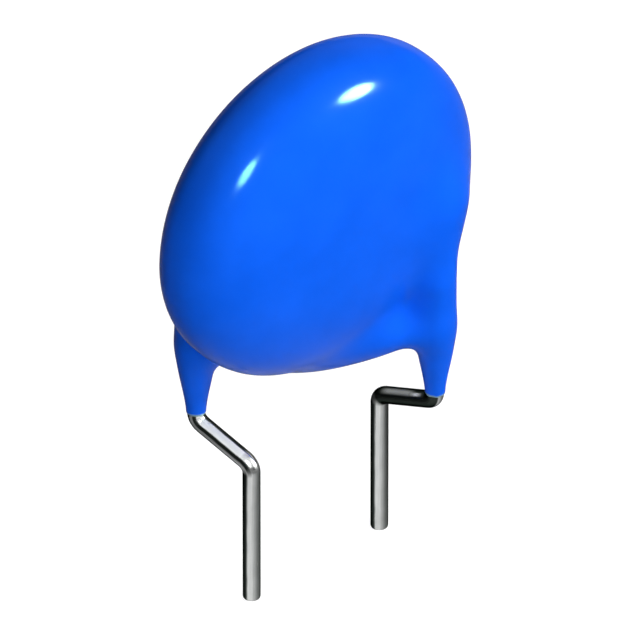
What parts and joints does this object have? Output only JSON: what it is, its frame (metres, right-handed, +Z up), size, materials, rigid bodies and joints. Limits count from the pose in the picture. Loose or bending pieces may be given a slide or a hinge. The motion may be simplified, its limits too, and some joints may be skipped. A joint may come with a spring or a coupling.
{
  "type": "ceramic disc capacitor",
  "caption": "Dipped ceramic disc capacitor, blue epoxy coat, kinked wire leads for a circuit board.",
  "frame": {"origin": "board plane, halfway between the two straight leads", "axes": "+Z up out of the board, +X along the disc towards the front lead's side, +Y towards the rear lead's face"},
  "size_m": [0.0166, 0.008, 0.0283],
  "materials": {
    "blue_epoxy": "glossy dipped epoxy with a soft orange peel",
    "ceramic": "fired, matt",
    "silver_film": "fired silver, matt",
    "solder": "solder, satin",
    "tinned_wire": "bright tin with fine drawing lines"
  },
  "bodies": {
    "root": {"coating": "blue_epoxy", "ceramic_disc": "ceramic", "front_electrode": "silver_film", "rear_electrode": "silver_film", "front_solder": "solder", "rear_solder": "solder", "front_lead": "tinned_wire", "rear_lead": "tinned_wire"}
  },
  "joints": []
}
